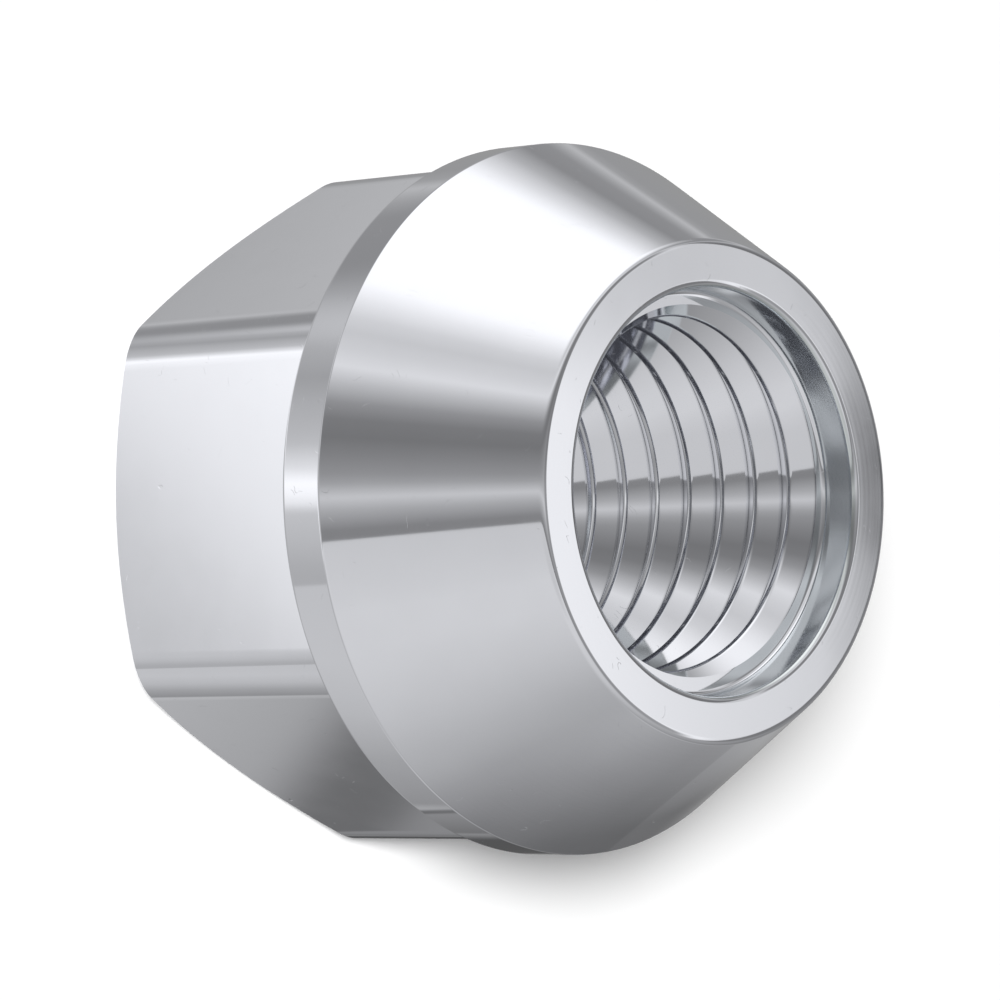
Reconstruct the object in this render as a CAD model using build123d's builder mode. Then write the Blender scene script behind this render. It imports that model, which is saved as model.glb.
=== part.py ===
"""Open-ended lug nut with a 60 degree conical seat, forged and turned as one piece.

The nut stands on its hex end. The origin is the centre of the hex end face, +Z runs along
the bore to the nose, and two corners of the hexagon lie on the X axis. Sizes are in mm.
"""
import os
from math import cos, radians, tan

from build123d import *

os.makedirs("parts", exist_ok=True)

# Thread, given here by the stud that it fits and by the depth from its crests to the stud's size
thread_diameter = 12.0
thread_depth = 0.51

# Hexagon for the wheel wrench
across_flats = 19.0
corner_radius = 1.5
hex_height = 9.8
end_face_diameter = 17.9
end_chamfer_angle = 30.0

# Collar between the hexagon and the seat
collar_diameter = 22.4
collar_width = 1.7
collar_edge_radius = 0.1

# Conical seat and the flat nose that it ends in
seat_angle = 60.0
seat_height = 6.0
nose_edge_radius = 0.23

# Flat-bottomed recess in the nose, which clears the stud's thread
stud_clearance = 0.3
recess_depth = 1.32
recess_mouth_radius = 0.2
recess_floor_radius = 0.17

# Countersink at the hex end
countersink_diameter = 13.0
countersink_angle = 120.0

# Heights of the turned steps, from the hex end to the nose
collar_base = hex_height
seat_base = collar_base + collar_width
nose_height = seat_base + seat_height

# Hexagon: the chamfer starts at the end face's circle and runs out past the corners
end_face_radius = end_face_diameter / 2
corner_reach = across_flats / 2 / cos(radians(30))
chamfer_height = (corner_reach - end_face_radius) * tan(radians(end_chamfer_angle))

# Seat: its cone meets the nose face at this radius
collar_radius = collar_diameter / 2
nose_radius = collar_radius - seat_height * tan(radians(seat_angle / 2))

# Bore, the recess at one end of it and the countersink at the other
bore_radius = thread_diameter / 2 - thread_depth
recess_radius = thread_diameter / 2 + stud_clearance
recess_floor = nose_height - recess_depth
countersink_radius = countersink_diameter / 2
countersink_depth = (countersink_radius - bore_radius) / tan(radians(countersink_angle / 2))

with BuildPart() as lug_nut:
    # Hexagon with rounded corners
    with BuildSketch() as hex_outline:
        RegularPolygon(across_flats / 2, 6, major_radius=False)
        fillet(hex_outline.vertices(), corner_radius)
    extrude(amount=hex_height)

    # Turned chamfer on the hex end, which gives each flat its curved end
    with BuildSketch(Plane.XZ):
        with BuildLine():
            Polyline(
                (0, 0),
                (end_face_radius, 0),
                (corner_reach, chamfer_height),
                (corner_reach, hex_height),
                (0, hex_height),
                close=True,
            )
        make_face()
    revolve(axis=Axis.Z, mode=Mode.INTERSECT)

    # Collar and conical seat, with both rims of the collar and the nose's edge rounded
    with BuildSketch(Plane.XZ) as head_section:
        with BuildLine():
            Polyline(
                (0, collar_base),
                (collar_radius, collar_base),
                (collar_radius, seat_base),
                (nose_radius, nose_height),
                (0, nose_height),
                close=True,
            )
        make_face()
        nose_edge = head_section.vertices().group_by(Axis.X)[-2]
        fillet(nose_edge, nose_edge_radius)
        collar_rims = head_section.vertices().group_by(Axis.X)[-1]
        fillet(collar_rims, collar_edge_radius)
    revolve(axis=Axis.Z)

    # Bore with a countersink at the hex end and a recess at the nose
    with BuildSketch(Plane.XZ) as bore_section:
        with BuildLine():
            Polyline(
                (0, 0),
                (countersink_radius, 0),
                (bore_radius, countersink_depth),
                (bore_radius, recess_floor),
                (recess_radius, recess_floor),
                (recess_radius, nose_height),
                (0, nose_height),
                close=True,
            )
        make_face()
        floor_corners = bore_section.vertices().group_by(Axis.Y)[-2]
        fillet(floor_corners.sort_by(Axis.X)[-1], recess_floor_radius)
    revolve(axis=Axis.Z, mode=Mode.SUBTRACT)

    # Rounded mouth of the recess
    mouth = lug_nut.faces().sort_by(Axis.Z)[-1].inner_wires().edges()
    fillet(mouth, recess_mouth_radius)

lug_nut.part.label = "lug_nut"
export_step(lug_nut.part, "parts/lug_nut.step")
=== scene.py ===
"""Looks of the lug nut: its cut thread, turned and forged surfaces, bright plating and studio."""
from math import atan2, cos, hypot, pi, radians, sin, tan

import bmesh
import bpy
from bpy.props import FloatProperty, FloatVectorProperty, PointerProperty
from bpy.types import Operator, Panel, PropertyGroup
from mathutils import Matrix, Vector


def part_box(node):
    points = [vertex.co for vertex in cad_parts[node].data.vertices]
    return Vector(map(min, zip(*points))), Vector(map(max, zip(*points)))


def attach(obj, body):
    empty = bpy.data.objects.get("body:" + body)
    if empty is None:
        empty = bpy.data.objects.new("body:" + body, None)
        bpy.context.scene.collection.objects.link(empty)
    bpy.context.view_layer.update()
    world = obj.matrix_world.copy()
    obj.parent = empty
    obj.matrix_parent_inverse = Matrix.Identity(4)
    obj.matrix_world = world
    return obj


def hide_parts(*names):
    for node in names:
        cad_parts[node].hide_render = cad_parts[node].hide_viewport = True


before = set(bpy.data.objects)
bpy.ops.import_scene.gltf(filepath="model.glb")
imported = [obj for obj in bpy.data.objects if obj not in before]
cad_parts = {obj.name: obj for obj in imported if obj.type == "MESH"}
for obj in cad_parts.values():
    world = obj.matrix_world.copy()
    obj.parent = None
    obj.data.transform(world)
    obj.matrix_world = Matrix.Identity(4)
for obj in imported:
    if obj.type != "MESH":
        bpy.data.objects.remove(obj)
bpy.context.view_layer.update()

bl_info = {
    "name": "Lug nut",
    "version": (1, 0, 0),
    "blender": (4, 5, 0),
    "location": "3D View > Sidebar > Lug nut",
    "description": "Models a plated lug nut with its thread, and a studio for it",
    "category": "Add Mesh",
}

NUT_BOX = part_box("lug_nut")
COLLAR_DIAMETER = NUT_BOX[1][0] - NUT_BOX[0][0]
NUT_HEIGHT = NUT_BOX[1][2] - NUT_BOX[0][2]

# Angles of the turned and forged forms
CHAMFER_ANGLE = radians(30)
SEAT_HALF_ANGLE = radians(30)
SINK_HALF_ANGLE = radians(60)

# Columns of the mesh round the axis: six rounded corners and six flats
CORNER_STEPS = 12
FLAT_CUTS = 47
TURN_STEPS = 360

# A point counts as lying on a plane within this distance
TOUCH = 1e-7

# Two edges that turn more than this between them meet at a sharp edge
SHARP_ANGLE = radians(24)

# Distance of a flat face's first ring from the face's edge
RING_INSET = 0.00003

# Width of the bevel on the thread's crests
CREST_EDGE = 0.00002

# Places of the rings on a flank of the thread, from its crest to its root
FLANK_SHARES = (0.03, 0.1, 0.3, 0.6, 0.85, 0.95, 0.99)

# Size of the pale floor, from its middle to its edge
FLOOR_REACH = 3

# Small marks on the plating: their sizes, the share of places that have a pit, and their depths
SCRATCH_BEND = 0.0011
SCRATCH_LENGTH = 0.0005
PIT_SPACING = 0.0006
PIT_SHARE = 0.07
CLOUD_SIZE = 0.0016
TURNING_MARK = 0.00012
MARK_DEPTH = 0.0000013
TURNING_DEPTH = 0.0000002


def length(name, text, default):
    """A size that a user may change, in metres."""
    return FloatProperty(name=name, description=text, default=default, min=0.0, unit="LENGTH", precision=5)


def colour(name, text, default):
    """A colour that a user may change."""
    return FloatVectorProperty(
        name=name, description=text, default=default, size=4, min=0.0, max=1.0, subtype="COLOR",
    )


class NutSizes(PropertyGroup):
    """Sizes of the nut's outside."""

    across_flats: length("Across flats", "Width of the hexagon between two flats", 0.019)
    corner_radius: length("Corner radius", "Radius of the hexagon's upright corners", 0.0015)
    hex_height: length("Hexagon height", "From the end face to the collar", 0.0098)
    end_face: length("End face", "Diameter of the flat end face", 0.0179)
    collar_width: length("Collar width", "Length of the collar along the axis", 0.0017)
    collar_edge: length("Collar edge", "Radius of the collar's rims", 0.0001)
    nose_edge: length("Nose edge", "Radius of the edge between the seat and the nose", 0.00023)


class BoreSizes(PropertyGroup):
    """Sizes of the bore, its recess and its thread."""

    bore: length("Bore", "Diameter at the thread's crests", 0.01098)
    pitch: length("Pitch", "Distance from one thread crest to the next", 0.00143)
    thread_depth: length("Thread depth", "Depth of the thread's grooves", 0.00061)
    crest: length("Crest", "Width of the flat crest of the thread", 0.000165)
    nose_flank: length("Nose flank", "Height of the flank that faces the nose", 0.000523)
    first_crest: length("First crest", "Height of the first crest's middle on the +Y side", 0.01544)
    recess: length("Recess", "Diameter of the recess in the nose", 0.0126)
    recess_depth: length("Recess depth", "Depth of the recess below the nose", 0.00132)
    mouth_radius: length("Mouth radius", "Radius of the recess's mouth", 0.0002)
    floor_radius: length("Floor radius", "Radius where the recess's wall meets its floor", 0.00017)
    sink: length("End countersink", "Diameter of the countersink at the hex end", 0.013)


class PlatingColours(PropertyGroup):
    """Colours of the bright plating, with the painted shade of the thread's roots and the recess's wall."""

    outside: colour("Plating", "Colour of the plating on the outside", (0.86, 0.87, 0.915, 1))
    # Painted shade in the thread's roots; the crests take this darker colour too
    thread: colour("Thread", "Colour of the thread's roots and crests", (0.6, 0.61, 0.64, 1))
    # Painted shade on the recess's wall
    recess: colour("Recess wall", "Colour of the recess's wall", (0.725, 0.76, 0.77, 1))


def arc(centre, radius, start, end, steps):
    """Points (r, z) of an arc in the nut's section, from one angle in degrees to another."""
    angles = [radians(start + (end - start) * i / steps) for i in range(steps + 1)]
    return [(centre[0] + radius * cos(a), centre[1] + radius * sin(a)) for a in angles]


def line(start, end, steps=1):
    """Points (r, z) of a straight line in the nut's section, without its first.

    A ring close to each end keeps the shading of the face even up to its rounded edge.
    """
    inset = RING_INSET / hypot(end[0] - start[0], end[1] - start[1])
    share = [inset] + [i / steps for i in range(1, steps)] + [1 - inset, 1]
    return [(start[0] + (end[0] - start[0]) * k, start[1] + (end[1] - start[1]) * k) for k in share]


def carry(bm, edges, place):
    """Extrudes a closed loop of edges and moves its new points with place. Gives the new loop."""
    made = bmesh.ops.extrude_edge_only(bm, edges=edges)["geom"]
    for vert in [g for g in made if isinstance(g, bmesh.types.BMVert)]:
        vert.co = place(vert.co)
    return [g for g in made if isinstance(g, bmesh.types.BMEdge)]


def onto_circle(radius, height):
    """A move that pushes a point out to a circle round the axis."""
    def place(co):
        share = radius / hypot(co.x, co.y)
        return Vector((co.x * share, co.y * share, height))
    return place


def turned(bm, edges, section):
    """Carries a loop along a turned section and gives the last loop."""
    for radius, height in section:
        edges = carry(bm, edges, onto_circle(radius, height))
    return edges


def hexagon(bm, sizes):
    """Draws the hexagon's outline with round corners and gives its edges."""
    reach = (sizes.across_flats / 2 - sizes.corner_radius) / cos(radians(30))
    start = Vector((cos(radians(30)), -sin(radians(30)), 0)) * sizes.corner_radius
    first = bm.verts.new(start + Vector((reach, 0, 0)))
    still = {"axis": (0, 0, 1), "dvec": (0, 0, 0), "use_merge": False, "use_normal_flip": False}
    bmesh.ops.spin(
        bm, geom=[first], cent=(reach, 0, 0), angle=radians(60), steps=CORNER_STEPS,
        use_duplicate=False, **still,
    )
    corner = list(bm.verts) + list(bm.edges)
    bmesh.ops.spin(
        bm, geom=corner, cent=(0, 0, 0), angle=radians(300), steps=5, use_duplicate=True, **still,
    )
    ends = [v for v in bm.verts if len(v.link_edges) == 1]
    ends.sort(key=lambda v: atan2(v.co.y, v.co.x) % (2 * pi))
    apart = sizes.corner_radius * 2
    pairs = [pair for pair in zip(ends, ends[1:] + ends[:1]) if (pair[0].co - pair[1].co).length > apart]
    flats = [bm.edges.new(pair) for pair in pairs]
    bmesh.ops.subdivide_edges(bm, edges=flats, cuts=FLAT_CUTS)
    return list(bm.edges)


def nose_face_inside(sizes):
    """Radius of the nose face's inner ring."""
    return sizes.recess / 2 + sizes.mouth_radius + RING_INSET


def end_face_inside(sizes):
    """Radius of the end face's inner ring."""
    return sizes.sink / 2 + RING_INSET


def evened(bm, edges, radius, height):
    """Carries a loop in to a circle and spaces its points evenly, as the bore's columns are."""
    loop = carry(bm, edges, onto_circle(radius, height))
    points = sorted({v for e in loop for v in e.verts}, key=lambda v: column_of(v.co))
    for rank, vert in enumerate(points):
        angle = 2 * pi * rank / len(points)
        vert.co = (radius * cos(angle), radius * sin(angle), height)


def outside(bm, sizes, bore):
    """Hexagon, collar, seat and nose edge, from the end face to the nose face."""
    end_radius = sizes.end_face / 2
    outline = hexagon(bm, sizes)
    for vert in bm.verts:
        vert.co.z = (hypot(vert.co.x, vert.co.y) - end_radius) * tan(CHAMFER_ANGLE)
    end_ring = turned(bm, outline, [(end_radius, 0), (end_radius - RING_INSET, 0)])
    evened(bm, end_ring, end_face_inside(bore), 0)
    wall = carry(bm, outline, lambda co: Vector((co.x, co.y, sizes.hex_height)))

    collar = COLLAR_DIAMETER / 2
    edge = sizes.collar_edge
    seat_base = sizes.hex_height + sizes.collar_width
    nose = collar - (NUT_HEIGHT - seat_base) * tan(SEAT_HALF_ANGLE)
    # The nose's edge is an arc that touches the seat and the nose face
    touch = sizes.nose_edge * tan((pi / 2 - SEAT_HALF_ANGLE) / 2)
    nose_arc = arc((nose - touch, NUT_HEIGHT - sizes.nose_edge), sizes.nose_edge, 30, 90, 5)
    section = arc((collar - edge, sizes.hex_height + edge), edge, -90, 0, 3)
    front_edge = arc((collar - edge, seat_base - edge), edge, 0, 30, 2)
    section += line(section[-1], front_edge[0]) + front_edge[1:]
    section += line(section[-1], nose_arc[0], 8) + nose_arc[1:]
    nose_ring = turned(bm, wall, section + [(section[-1][0] - RING_INSET, NUT_HEIGHT)])
    evened(bm, nose_ring, nose_face_inside(bore), NUT_HEIGHT)


def thread_profile(sizes):
    """One pitch of the thread as (depth, height), from the middle of one crest to the next."""
    depth = sizes.thread_depth
    top = sizes.crest / 2
    nose_flank = sizes.nose_flank
    end_flank = sizes.pitch - sizes.crest - nose_flank
    rising = [(depth * k, top + nose_flank * k) for k in FLANK_SHARES]
    falling = [(depth * k, sizes.pitch - top - end_flank * k) for k in reversed(FLANK_SHARES)]
    crest_start = (0.0, sizes.pitch - top + CREST_EDGE)
    return [(0.0, 0.0), (0.0, top - CREST_EDGE)] + rising + falling + [crest_start]


def cut_off(bm, height, side):
    """Cuts the bore off at a height, and gives the cut loop with one point for each column."""
    bmesh.ops.bisect_plane(
        bm, geom=list(bm.verts) + list(bm.edges) + list(bm.faces), dist=TOUCH,
        plane_co=(0, 0, height), plane_no=(0, 0, side), clear_outer=True,
    )
    cut = [v for v in bm.verts if abs(v.co.z - height) < TOUCH * 10]
    between = [v for v in cut if abs(column_of(v.co) - round(column_of(v.co))) > 0.01]
    bmesh.ops.dissolve_verts(bm, verts=between)
    return [e for e in bm.edges if e.is_boundary and all(abs(v.co.z - height) < TOUCH * 10 for v in e.verts)]


def cut_by_cone(bm, height, half_angle, radius):
    """Cuts the bore off where the countersink of the hex end begins, and gives the cut loop.

    The points are sheared so that the cone lies flat, cut by a plane and sheared back.
    """
    for vert in bm.verts:
        vert.co.z += (hypot(vert.co.x, vert.co.y) - radius) / tan(half_angle)
    loop = cut_off(bm, height, -1)
    for vert in bm.verts:
        vert.co.z -= (hypot(vert.co.x, vert.co.y) - radius) / tan(half_angle)
    return loop


def column_of(co):
    """The bore's column that a point lies on."""
    return (atan2(co.y, co.x) / (2 * pi) * TURN_STEPS + 0.25) % TURN_STEPS - 0.25


def threaded_bore(bm, sizes):
    """Cuts the thread as a helix, from the recess's floor to the countersink. Gives both loops."""
    bore = sizes.bore / 2
    # A right-hand thread climbs towards the nose as it turns, and +Y is a quarter turn round
    start = sizes.first_crest - sizes.pitch / 4
    below = int(start / sizes.pitch) + 2
    profile = thread_profile(sizes)
    points = []
    for turn in range(-below, 2):
        base = start + turn * sizes.pitch
        points += [bm.verts.new((bore + depth, 0, base + height)) for depth, height in profile]
    for pair in zip(points, points[1:]):
        bm.edges.new(pair)
    bmesh.ops.spin(
        bm, geom=list(bm.verts) + list(bm.edges), cent=(0, 0, 0), axis=(0, 0, 1),
        dvec=(0, 0, sizes.pitch / TURN_STEPS), angle=2 * pi, steps=TURN_STEPS,
        use_merge=False, use_normal_flip=False, use_duplicate=False,
    )
    bmesh.ops.remove_doubles(bm, verts=bm.verts, dist=TOUCH * 20)
    sink_depth = (sizes.sink / 2 - bore) / tan(SINK_HALF_ANGLE)
    nose_loop = cut_off(bm, NUT_HEIGHT - sizes.recess_depth, 1)
    end_loop = cut_by_cone(bm, sink_depth, SINK_HALF_ANGLE, bore)
    return nose_loop, end_loop


def inside(bm, sizes):
    """Threaded bore with the countersink at each end, and the recess up to the nose face."""
    nose_loop, end_loop = threaded_bore(bm, sizes)
    recess = sizes.recess / 2
    floor = NUT_HEIGHT - sizes.recess_depth
    corner = sizes.floor_radius
    mouth = sizes.mouth_radius
    corner_arc = arc((recess - corner, floor + corner), corner, -90, 0, 4)
    mouth_arc = arc((recess + mouth, NUT_HEIGHT - mouth), mouth, 180, 90, 5)
    section = [(corner_arc[0][0] - RING_INSET / 4, floor)] + corner_arc
    section += line(corner_arc[-1], mouth_arc[0], 3) + mouth_arc[1:]
    turned(bm, nose_loop, section + [(nose_face_inside(sizes), NUT_HEIGHT)])
    turned(bm, end_loop, [(sizes.sink / 2, 0), (end_face_inside(sizes), 0)])


def finish_mesh(bm, name, sharp):
    """Shades the surface smooth between its sharp edges and makes the object."""
    bmesh.ops.recalc_face_normals(bm, faces=bm.faces)
    for face in bm.faces:
        face.smooth = True
    for edge in bm.edges:
        edge.smooth = edge.calc_face_angle(0) < sharp
    mesh = bpy.data.meshes.new(name)
    bm.to_mesh(mesh)
    bm.free()
    made = bpy.data.objects.new(name, mesh)
    bpy.context.scene.collection.objects.link(made)
    return made


class LUGNUT_OT_body(Operator):
    """Model the nut in one piece, with its hexagon, seat, recess and thread"""

    bl_idname = "lugnut.body"
    bl_label = "Nut"

    def execute(self, context):
        outer, bore = context.scene.lugnut_outside, context.scene.lugnut_bore
        shell = bmesh.new()
        inside(shell, bore)
        part = bpy.data.meshes.new("bore")
        shell.to_mesh(part)
        shell.free()
        bm = bmesh.new()
        outside(bm, outer, bore)
        bm.from_mesh(part)
        bpy.data.meshes.remove(part)
        bmesh.ops.remove_doubles(bm, verts=bm.verts, dist=TOUCH * 20)
        open_edges = [e for e in bm.edges if not e.is_manifold]
        if open_edges:
            raise RuntimeError(f"the nut's surface is open at {len(open_edges)} edges")
        nut = finish_mesh(bm, "plated_nut", SHARP_ANGLE)
        nut.data.materials.append(plated_steel(outer, bore, context.scene.lugnut_plating))
        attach(nut, "root")
        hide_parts("lug_nut")
        return {"FINISHED"}


def node(tree, kind, inputs, **settings):
    """Adds a shader node, sets or links its inputs and gives it."""
    made = tree.nodes.new("ShaderNode" + kind)
    for name, value in settings.items():
        setattr(made, name, value)
    for place, value in inputs.items():
        if isinstance(value, bpy.types.NodeSocket):
            tree.links.new(value, made.inputs[place])
        else:
            made.inputs[place].default_value = value
    return made


def math(tree, operation, first, second=0.0, third=0.0):
    """The result of a sum on sockets or numbers."""
    return node(tree, "Math", {0: first, 1: second, 2: third}, operation=operation).outputs[0]


def between(tree, value, start, end, low=0.0, high=1.0):
    """A smooth step from low to high while a value goes from start to end."""
    inputs = {"Value": value, "From Min": start, "From Max": end, "To Min": low, "To Max": high}
    return node(tree, "MapRange", inputs, interpolation_type="SMOOTHSTEP").outputs["Result"]


def band(tree, value, start, full, fade, end):
    """A soft band: 0 up to start, 1 from full to fade, and 0 again from end on."""
    return math(tree, "MULTIPLY", between(tree, value, start, full), between(tree, value, fade, end, 1, 0))


def noise(tree, place, size, detail=2.0, **inputs):
    """Noise with features of a real size, in metres."""
    values = {"Vector": place, "Scale": 1 / size, "Detail": detail}
    values.update(inputs)
    return node(tree, "TexNoise", values).outputs["Fac"]


def hairline_scratches(tree, place):
    """Short, thin, curved scratches: level lines of a noise, cut into pieces by another."""
    field = noise(tree, place, SCRATCH_BEND, 1.0, Distortion=1.2)
    on_line = between(tree, math(tree, "ABSOLUTE", math(tree, "SUBTRACT", field, 0.5)), 0.0, 0.005, 1, 0)
    patches = between(tree, noise(tree, place, SCRATCH_LENGTH, 0.0), 0.71, 0.76)
    return math(tree, "MULTIPLY", on_line, patches)


def pits(tree, place):
    """Small round pits under the plating, here and there."""
    cells = node(tree, "TexVoronoi", {"Vector": place, "Scale": 1 / PIT_SPACING})
    rank = node(tree, "SeparateColor", {0: cells.outputs["Color"]}).outputs[0]
    chosen = between(tree, rank, 1 - PIT_SHARE, 1.01 - PIT_SHARE)
    return math(tree, "MULTIPLY", between(tree, cells.outputs["Distance"], 0.0, 0.09, 1, 0), chosen)


def tinted(tree, share, first, second):
    """The first colour where share is 0, and the second where it is 1."""
    return node(tree, "Mix", {0: share, 6: first, 7: second}, data_type="RGBA").outputs[2]


def plating_tint_and_painted_shade(tree, radius, height, bore, colours):
    """The plating's colour, and where it lies on the recess's wall.

    Painted shade darkens the thread's roots and the recess's wall, and the crests are darker too.
    """
    crest_radius = bore.bore / 2
    root_radius = crest_radius + bore.thread_depth
    wall_radius = bore.recess / 2
    floor = NUT_HEIGHT - bore.recess_depth
    below_floor = between(tree, height, floor - 0.00006, floor - 0.00002, 1, 0)
    # Painted shade: the thread's roots are darker, where the light between the grooves falls off; the crests
    # are darker too
    root = band(tree, radius, root_radius - 0.00006, root_radius, root_radius + 0.0001, root_radius + 0.0003)
    root = math(tree, "MULTIPLY", below_floor, root)
    crest = between(tree, radius, crest_radius + 0.000004, crest_radius + CREST_EDGE, 1, 0)
    tint = tinted(tree, math(tree, "MAXIMUM", root, crest), colours.outside, colours.thread)
    # Painted shade: the recess's wall is darker and greener than the outside
    above_floor = between(tree, height, floor + 0.00007, floor + 0.00012)
    within_wall = between(tree, radius, wall_radius + 0.00006, wall_radius + 0.0001, 1, 0)
    in_recess = math(tree, "MULTIPLY", above_floor, within_wall)
    return tinted(tree, in_recess, tint, colours.recess), in_recess


def plating_bump(tree, place, radius, height, outer, bore):
    """Fine turning marks under the plating, with scratches and pits in it."""
    turned_place = node(tree, "CombineXYZ", {0: radius, 2: height}).outputs[0]
    mouth = bore.recess / 2 + bore.mouth_radius
    beyond_mouth = between(tree, radius, mouth + 0.0001, mouth + 0.0002)
    above_hexagon = between(tree, height, outer.hex_height, outer.hex_height + 0.00005)
    on_turned = math(tree, "MULTIPLY", beyond_mouth, above_hexagon)
    rings = math(tree, "MULTIPLY", noise(tree, turned_place, TURNING_MARK, 3.0), on_turned)
    bump = node(tree, "Bump", {"Strength": 0.5, "Distance": TURNING_DEPTH, "Height": rings})
    marks = math(tree, "ADD", hairline_scratches(tree, place), pits(tree, place))
    inputs = {"Strength": 0.5, "Distance": MARK_DEPTH, "Height": marks, "Normal": bump.outputs[0]}
    return node(tree, "Bump", inputs, invert=True).outputs[0]


def plated_steel(outer, bore, colours):
    """Bright plating on turned and forged steel, with the fine marks that it covers."""
    material = bpy.data.materials.new("bright_plating")
    material.use_nodes = True
    tree = material.node_tree
    shader = tree.nodes["Principled BSDF"]
    place = node(tree, "TexCoord", {}).outputs["Object"]
    height = node(tree, "SeparateXYZ", {0: place}).outputs["Z"]
    flat_place = node(tree, "VectorMath", {0: place, 1: (1, 1, 0)}, operation="MULTIPLY").outputs[0]
    radius = node(tree, "VectorMath", {0: flat_place}, operation="LENGTH").outputs["Value"]

    # The tint holds the painted shade of the thread's roots and the recess's wall
    tint, in_recess = plating_tint_and_painted_shade(tree, radius, height, bore, colours)
    patchy = noise(tree, place, CLOUD_SIZE, 3.0)
    cloud = between(tree, patchy, 0.3, 0.7, 0.985, 1.0)
    tint = node(tree, "Mix", {0: 1.0, 6: tint, 7: cloud}, data_type="RGBA", blend_type="MULTIPLY")
    tree.links.new(tint.outputs[2], shader.inputs["Base Color"])
    shader.inputs["Metallic"].default_value = 1
    polish = between(tree, patchy, 0.3, 0.7, 0.045, 0.06)
    tree.links.new(blended(tree, in_recess, polish, 0.13), shader.inputs["Roughness"])
    tree.links.new(plating_bump(tree, place, radius, height, outer, bore), shader.inputs["Normal"])

    # Between the grooves the light is thrown to and fro more often than is followed here, so
    # what would come after the fourth reflection is a faint even glow
    depth = node(tree, "LightPath", {}).outputs["Glossy Depth"]
    left_over = math(tree, "MULTIPLY", math(tree, "GREATER_THAN", depth, 3.5), 0.05)
    tree.links.new(left_over, shader.inputs["Emission Strength"])
    shader.inputs["Emission Color"].default_value = (1, 1, 1, 1)
    material.cycles.emission_sampling = "NONE"
    return material


class StudioSettings(PropertyGroup):
    """The camera and the light."""

    lens: FloatProperty(name="Lens", description="Focal length in millimetres", default=212.6048)
    key_power: FloatProperty(name="Key", description="Power of the soft lamp", default=4.0)
    key_size: FloatProperty(
        name="Key size", description="Angle of the soft lamp", default=0.2, subtype="ANGLE",
    )
    key_rise: FloatProperty(
        name="Key rise", description="How far the soft lamp stands above the camera", default=0.11,
    )


# The photograph's camera: its sides as directions, and its place from the collar's front edge
CAMERA_RIGHT = Vector((0.02871851, 0.70420651, 0.70941415))
CAMERA_UP = Vector((-0.99936813, 0.00535844, 0.03513732))
CAMERA_BACK = Vector((0.02094258, -0.70997498, 0.70391543))
CAMERA_PLACE = Vector((0.345561, -11.932675, 11.519645))

# Light that the plating reflects, as (direction, brightness that shows on the nut from 0 to 1), set
# to the greys of the photograph's nut. In front and behind, the direction is the height in
# the picture, and on the left it leans forward.
FRONT = (
    (-0.31, 0.49), (-0.155, 0.50), (-0.06, 0.65), (0.0, 0.76), (0.03, 0.70), (0.07, 0.61), (0.115, 0.553),
    (0.2, 0.50), (0.285, 0.45), (0.37, 0.47), (0.445, 0.56), (0.525, 0.72), (0.595, 0.85), (0.665, 0.80),
    (0.725, 0.77), (0.775, 0.81), (0.83, 0.91), (0.88, 1.0), (1.0, 1.04),
)
LEFT = (
    (-0.35, 0.66), (-0.3, 0.67), (-0.17, 0.72), (-0.085, 0.745), (-0.073, 0.77), (-0.06, 0.82), (-0.05, 0.87),
    (-0.04, 0.908), (-0.025, 0.935), (-0.01, 0.965), (0.03, 1.0), (0.05, 0.96), (0.08, 0.87), (0.17, 0.73),
    (0.3, 0.665), (0.36, 0.61), (0.41, 0.66), (0.445, 0.77), (0.48, 0.77), (0.55, 0.70), (0.63, 0.56),
    (0.8, 0.6), (0.95, 1.0),
)
BEHIND = (
    (-0.3, 0.52), (0.0, 0.55), (0.45, 0.57), (0.51, 0.60), (0.55, 0.70), (0.6, 0.61), (0.64, 0.545),
    (0.73, 0.53), (0.81, 0.68), (0.88, 0.86), (0.93, 1.0), (1.0, 1.04),
)
# Below the edge of the studio's table, the direction is how far forward it points
TABLE = (
    (-1.0, 0.66), (-0.97, 0.61), (-0.89, 0.505), (-0.8, 0.485), (-0.68, 0.49), (-0.49, 0.525), (-0.26, 0.573),
    (0.0, 0.616), (0.24, 0.686), (0.47, 0.757), (0.66, 0.80), (0.75, 0.803), (0.86, 0.76), (1.0, 0.76),
)
TABLE_LEFT = (
    (-1.0, 0.27), (-0.94, 0.35), (-0.89, 0.40), (-0.76, 0.52), (-0.68, 0.56), (-0.51, 0.62), (-0.34, 0.71),
    (-0.19, 0.75), (-0.05, 0.74), (0.0, 0.65), (0.24, 0.686), (0.47, 0.757), (0.66, 0.80), (0.75, 0.803),
    (0.86, 0.76), (1.0, 0.76),
)
RIGHT = (
    (-0.09, 0.46), (-0.074, 0.53), (-0.07, 0.62), (-0.067, 0.79), (-0.062, 0.838), (-0.05, 0.845),
    (-0.04, 0.87), (-0.032, 0.895), (-0.02, 0.935), (-0.005, 0.93), (0.05, 0.60), (0.2, 0.55),
)

# The table's edge is a plane: its tilt to the right and to the front, and its height
TABLE_EDGE = (-0.0272, 0.186, -0.340)

# Share of the light that the plating gives back
PLATING_SHARE = 0.87


class LUGNUT_OT_stage(Operator):
    """Set the floor, the soft light and the camera at the photograph's angle"""

    bl_idname = "lugnut.stage"
    bl_label = "Studio"

    def execute(self, context):
        settings = context.scene.lugnut_studio
        make_camera(context.scene, settings)
        make_floor(context.scene)
        make_lights(context.scene, settings)
        return {"FINISHED"}


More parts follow.
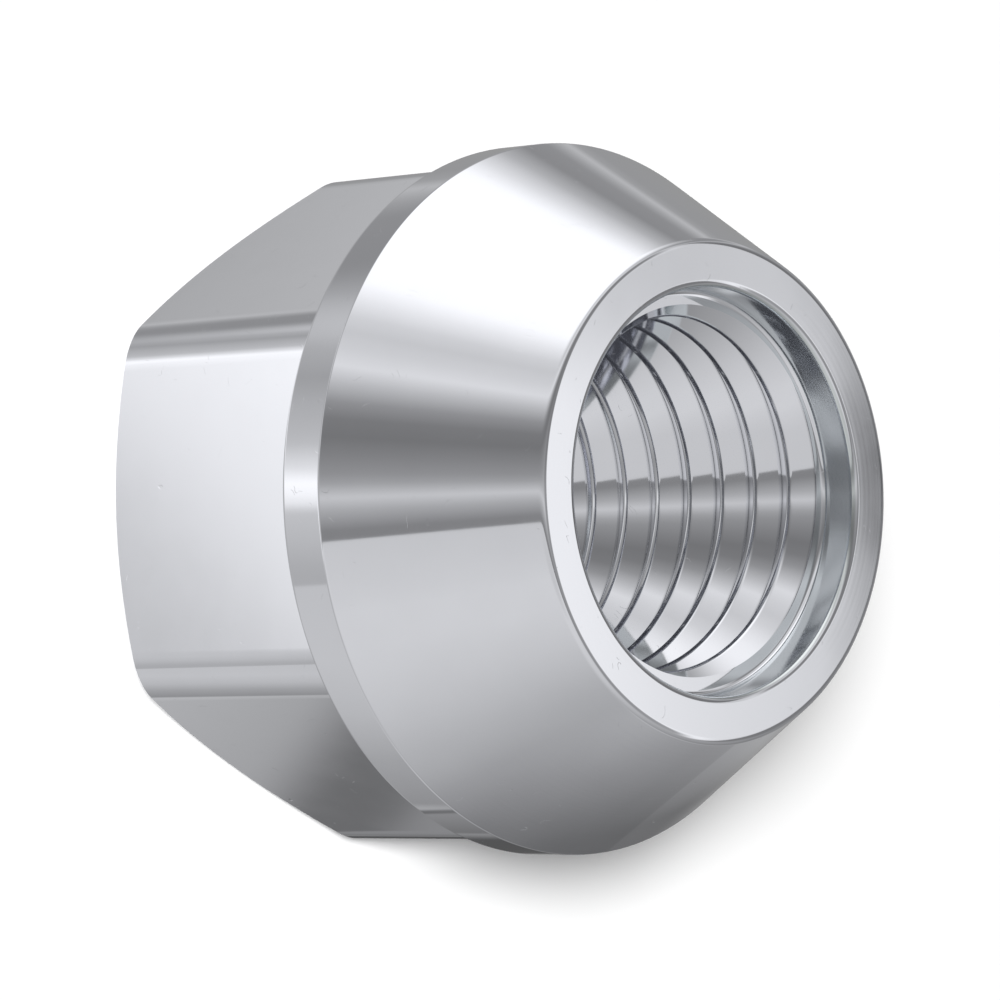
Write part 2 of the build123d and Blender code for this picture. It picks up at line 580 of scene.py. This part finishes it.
def make_camera(scene, settings):
    """The camera at the photograph's viewing angle."""
    seat_base = scene.lugnut_outside.hex_height + scene.lugnut_outside.collar_width
    data = bpy.data.cameras.new("photo_camera")
    data.lens = settings.lens
    data.sensor_width = 36
    data.clip_start, data.clip_end = 0.001, 10
    camera = bpy.data.objects.new("photo_camera", data)
    camera.matrix_world = Matrix((CAMERA_RIGHT, CAMERA_UP, CAMERA_BACK)).transposed().to_4x4()
    camera.location = CAMERA_PLACE * COLLAR_DIAMETER / 2 + Vector((0, 0, seat_base))
    scene.collection.objects.link(camera)
    scene.camera = camera


def make_floor(scene):
    """A plain pale floor under the nut."""
    bm = bmesh.new()
    bmesh.ops.create_grid(bm, x_segments=8, y_segments=8, size=FLOOR_REACH)
    mesh = bpy.data.meshes.new("floor")
    bm.to_mesh(mesh)
    bm.free()
    floor = bpy.data.objects.new("floor", mesh)
    scene.collection.objects.link(floor)
    floor.visible_glossy = False
    material = bpy.data.materials.new("pale_floor")
    material.use_nodes = True
    shader = material.node_tree.nodes["Principled BSDF"]
    shader.inputs["Base Color"].default_value = (0.97, 0.97, 0.97, 1)
    shader.inputs["Roughness"].default_value = 0.9
    mesh.materials.append(material)


def ramp(tree, value, marks):
    """The light along a line of marks."""
    low, high = marks[0][0], marks[-1][0]
    share = node(tree, "MapRange", {"Value": value, "From Min": low, "From Max": high}).outputs["Result"]
    made = node(tree, "ValToRGB", {0: share})
    stops = made.color_ramp.elements
    while len(stops) > 1:
        stops.remove(stops[-1])
    for rank, (level, shown) in enumerate(marks):
        position = (level - low) / (high - low)
        stop = stops[0] if rank == 0 else stops.new(position)
        stop.position = position
        light = shown ** 2.2 / PLATING_SHARE
        stop.color = (light, light, light, 1)
    return made.outputs[0]


def blended(tree, share, first, second):
    """The first light where share is 0, and the second where it is 1."""
    return node(tree, "Mix", {0: share, 2: first, 3: second}).outputs[0]


def studio_light(tree):
    """The light from each direction: a bright top, soft side panels and a pale table."""
    direction = node(tree, "TexCoord", {}).outputs["Generated"]
    right, up, back = [
        node(tree, "VectorMath", {0: direction, 1: axis}, operation="DOT_PRODUCT").outputs["Value"]
        for axis in (CAMERA_RIGHT, CAMERA_UP, CAMERA_BACK)
    ]
    front_light = ramp(tree, math(tree, "MULTIPLY_ADD", back, -0.04, up), FRONT)
    lean = between(tree, up, 0.1, 0.3, 1.0, 0.5)
    left_light = ramp(tree, math(tree, "MULTIPLY_ADD", back, lean, up), LEFT)
    upper = blended(tree, between(tree, back, -0.3, 0.3), ramp(tree, up, BEHIND), front_light)
    upper = blended(tree, between(tree, right, -0.85, -0.55), left_light, upper)

    # A card low on the left brightens the lower flat towards the hex end
    card_part = band(tree, back, -0.83, -0.79, -0.74, -0.7)
    card_part = math(tree, "MULTIPLY", card_part, between(tree, right, -0.23, -0.222, 1, 0))
    card = between(tree, right, -0.29, -0.235, 1.87, 1.4)
    card = math(tree, "MULTIPLY", card, between(tree, right, -0.251, -0.237, 1, 0.42))
    card = blended(tree, card_part, 1.0, card)
    table_left = math(tree, "MULTIPLY", ramp(tree, back, TABLE_LEFT), card)
    side = math(tree, "MULTIPLY_ADD", back, 0.27, right)
    table = blended(tree, between(tree, side, -0.24, -0.12), table_left, ramp(tree, back, TABLE))
    edge = math(tree, "MULTIPLY_ADD", right, -TABLE_EDGE[0], math(tree, "SUBTRACT", up, TABLE_EDGE[2]))
    edge = math(tree, "MULTIPLY_ADD", back, -TABLE_EDGE[1], edge)
    light = blended(tree, between(tree, edge, -0.004, 0.004), table, upper)

    # The table darkens towards the collar: halfway between the light and the camera lies the
    # seat's normal, whose rise along the axis varies a little from the collar to the nose
    halfway = node(tree, "VectorMath", {0: direction, 1: CAMERA_BACK}).outputs[0]
    halfway = node(tree, "VectorMath", {0: halfway}, operation="NORMALIZE").outputs[0]
    rise = node(tree, "SeparateXYZ", {0: halfway}).outputs["Z"]
    along = {"Value": rise, "From Min": 0.4735, "From Max": 0.5035, "To Min": -0.4, "To Max": 0.5}
    shade = node(tree, "MapRange", along).outputs["Result"]
    on_seat = band(tree, rise, 0.42, 0.44, 0.55, 0.57)
    below = math(tree, "MULTIPLY", between(tree, back, -0.3, 0.2, 1, 0), between(tree, up, -0.35, 0.0, 1, 0))
    shade = math(tree, "MULTIPLY", shade, math(tree, "MULTIPLY", on_seat, below))
    light = math(tree, "MULTIPLY", light, math(tree, "ADD", shade, 1.0))

    # The dark strip where the collar's underside meets the table
    strip = band(tree, right, -0.16, -0.1, 0.04, 0.09)
    strip = math(tree, "MULTIPLY", strip, between(tree, back, -0.9, -0.86, 1, 0))
    strip = math(tree, "MULTIPLY", strip, between(tree, up, -0.2, -0.12, 1, 0))
    light = math(tree, "MULTIPLY", light, math(tree, "MULTIPLY_ADD", strip, -0.65, 1.0))

    # The panel on the right is dimmer at the top, and darker across its far end
    top = math(tree, "MULTIPLY", between(tree, up, 0.065, 0.082), between(tree, back, -0.055, -0.04, 0.5, 1))
    panel = math(tree, "MULTIPLY", ramp(tree, back, RIGHT), math(tree, "MULTIPLY_ADD", top, -0.26, 1.0))
    far_end = band(tree, up, 0.036, 0.041, 0.062, 0.068)
    far_end = math(tree, "MULTIPLY", far_end, between(tree, back, -0.068, -0.062, 1, 0))
    panel = math(tree, "MULTIPLY", panel, math(tree, "MULTIPLY_ADD", far_end, -0.4, 1.0))
    return blended(tree, between(tree, right, 0.75, 0.97), light, panel)


def make_lights(scene, settings):
    """A soft lamp and the light that the plating reflects."""
    sun = bpy.data.lights.new("key", "SUN")
    sun.energy = settings.key_power
    sun.angle = settings.key_size
    key = bpy.data.objects.new("key", sun)
    key.rotation_mode = "QUATERNION"
    key.rotation_quaternion = (CAMERA_BACK + CAMERA_UP * settings.key_rise).to_track_quat("Z", "Y")
    key.visible_glossy = False
    scene.collection.objects.link(key)

    # The camera sees plain white, and the pattern lights the floor at about a third of its strength
    world = bpy.data.worlds.new("studio")
    scene.world = world
    world.use_nodes = True
    tree = world.node_tree
    tree.nodes.clear()
    seen = node(tree, "LightPath", {}).outputs
    strength = math(tree, "MULTIPLY_ADD", seen["Is Diffuse Ray"], -0.65, 1.0)
    studio = node(tree, "Background", {0: studio_light(tree), 1: strength})
    white = node(tree, "Background", {0: (1, 1, 1, 1)})
    pick = node(tree, "MixShader", {0: seen["Is Camera Ray"], 1: studio.outputs[0], 2: white.outputs[0]})
    node(tree, "OutputWorld", {0: pick.outputs[0]})
    scene.view_settings.view_transform = "Standard"


class LUGNUT_PT_panel(Panel):
    """Sizes and steps of the nut and its studio"""

    bl_idname = "LUGNUT_PT_panel"
    bl_label = "Lug nut"
    bl_space_type = "VIEW_3D"
    bl_region_type = "UI"
    bl_category = "Lug nut"

    def draw(self, context):
        layout = self.layout
        scene = context.scene
        for group in (scene.lugnut_outside, scene.lugnut_bore, scene.lugnut_plating, scene.lugnut_studio):
            for name in group.__annotations__:
                layout.prop(group, name)
        layout.operator("lugnut.body")
        layout.operator("lugnut.stage")


CLASSES = (
    NutSizes, BoreSizes, PlatingColours, StudioSettings, LUGNUT_OT_body, LUGNUT_OT_stage, LUGNUT_PT_panel,
)


def register():
    for cls in CLASSES:
        bpy.utils.register_class(cls)
    bpy.types.Scene.lugnut_outside = PointerProperty(type=NutSizes)
    bpy.types.Scene.lugnut_bore = PointerProperty(type=BoreSizes)
    bpy.types.Scene.lugnut_plating = PointerProperty(type=PlatingColours)
    bpy.types.Scene.lugnut_studio = PointerProperty(type=StudioSettings)


def unregister():
    del bpy.types.Scene.lugnut_studio
    del bpy.types.Scene.lugnut_plating
    del bpy.types.Scene.lugnut_bore
    del bpy.types.Scene.lugnut_outside
    for cls in reversed(CLASSES):
        bpy.utils.unregister_class(cls)


def main():
    """Makes the nut and its studio."""
    register()
    bpy.ops.lugnut.body()
    bpy.ops.lugnut.stage()


if __name__ == "__main__":
    main()
